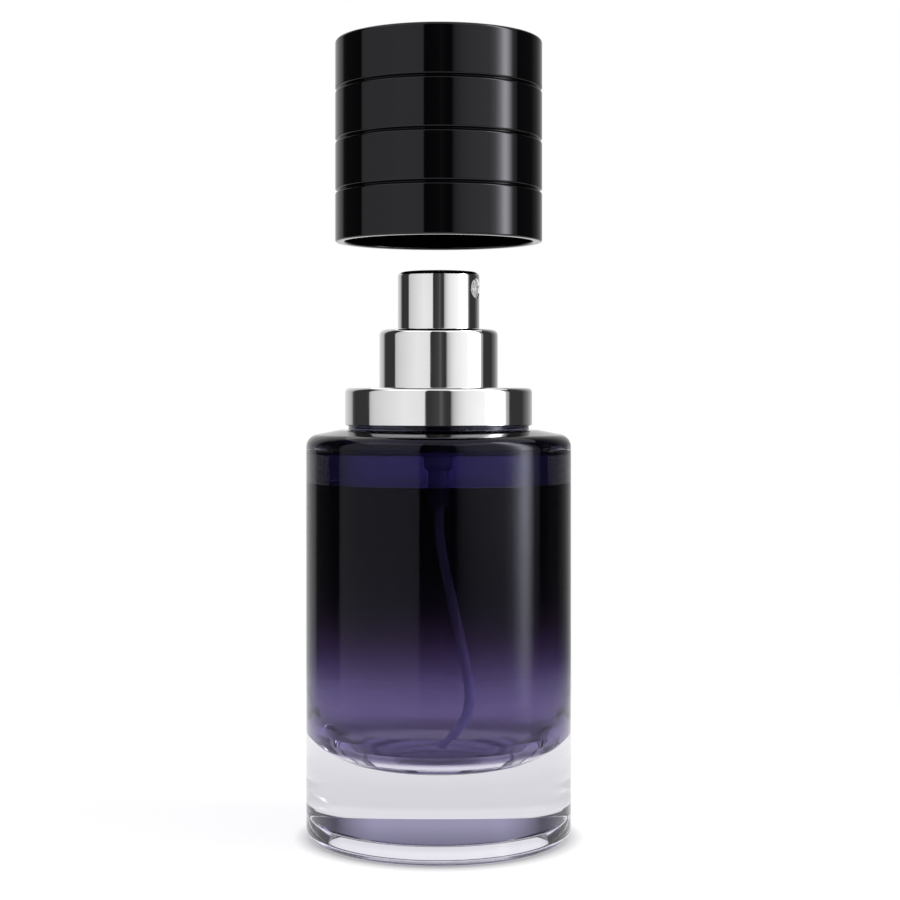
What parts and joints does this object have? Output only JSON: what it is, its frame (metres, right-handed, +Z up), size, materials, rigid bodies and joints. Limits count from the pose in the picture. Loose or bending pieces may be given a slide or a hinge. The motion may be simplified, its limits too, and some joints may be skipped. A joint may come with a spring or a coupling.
{
  "type": "aftershave spray bottle",
  "caption": "Round thick-based glass aftershave bottle with a three-tier polished fine-mist pump, a bowed dip tube and a grooved gloss black cap lifted off it.",
  "frame": {"origin": "centre of the bottle's foot, on the surface that it stands on", "axes": "+Z up the bottle's axis, +X the way that the nozzle sprays"},
  "size_m": [0.046, 0.046, 0.1382],
  "materials": {
    "clear_glass": "polished, tinted violet to black inside",
    "aftershave": "clear violet liquid",
    "polished_metal": "mirror polished",
    "crimp_metal": "satin",
    "spring_steel": "drawn wire",
    "ball_steel": "ground and polished",
    "black_gloss": "high gloss",
    "black_moulding": "moulded",
    "natural_moulding": "moulded, milky",
    "nozzle_moulding": "moulded",
    "clear_tube": "extruded, milky clear",
    "seal_rubber": "cut from sheet"
  },
  "bodies": {
    "bottle_body": {"glass_bottle": "clear_glass", "liquid_fill": "aftershave", "pump_housing": "natural_moulding", "dip_tube": "clear_tube", "neck_gasket": "seal_rubber", "stem_seal": "seal_rubber", "pump_turret": "natural_moulding", "crimp_ferrule": "crimp_metal", "return_spring": "spring_steel", "ring_insert": "black_moulding", "shoulder_ring": "polished_metal", "collar_insert": "natural_moulding", "collar_cover": "polished_metal"},
    "valve_ball": {"inlet_ball": "ball_steel"},
    "plunger": {"valve_stem": "natural_moulding", "piston_seat": "natural_moulding"},
    "piston_ring": {"piston": "natural_moulding"},
    "button_head": {"actuator_shell": "polished_metal", "actuator_core": "natural_moulding", "nozzle_insert": "nozzle_moulding"},
    "cap": {"cap_shell": "black_gloss", "cap_liner": "black_moulding"}
  },
  "joints": [
    {"name": "cap_lift", "type": "slide", "parent": "bottle_body", "child": "cap", "axis": [0, 0, 1], "range_m": [-0.03255, 0]},
    {"name": "button_press", "type": "slide", "parent": "bottle_body", "child": "plunger", "axis": [0, 0, -1], "range_m": [0, 0.004], "stiffness_N_per_m": 600, "springref_m": -0.004, "deforming": ["return_spring"]},
    {"name": "button_swivel", "type": "hinge", "parent": "plunger", "child": "button_head", "pos_m": [0, 0, 0.091], "axis": [0, 0, 1], "continuous": true},
    {"name": "piston_lag", "type": "slide", "parent": "plunger", "child": "piston_ring", "axis": [0, 0, 1], "range_m": [0, 0.0005]},
    {"name": "ball_lift", "type": "slide", "parent": "bottle_body", "child": "valve_ball", "axis": [0, 0, 1], "range_m": [0, 0.0006]}
  ]
}
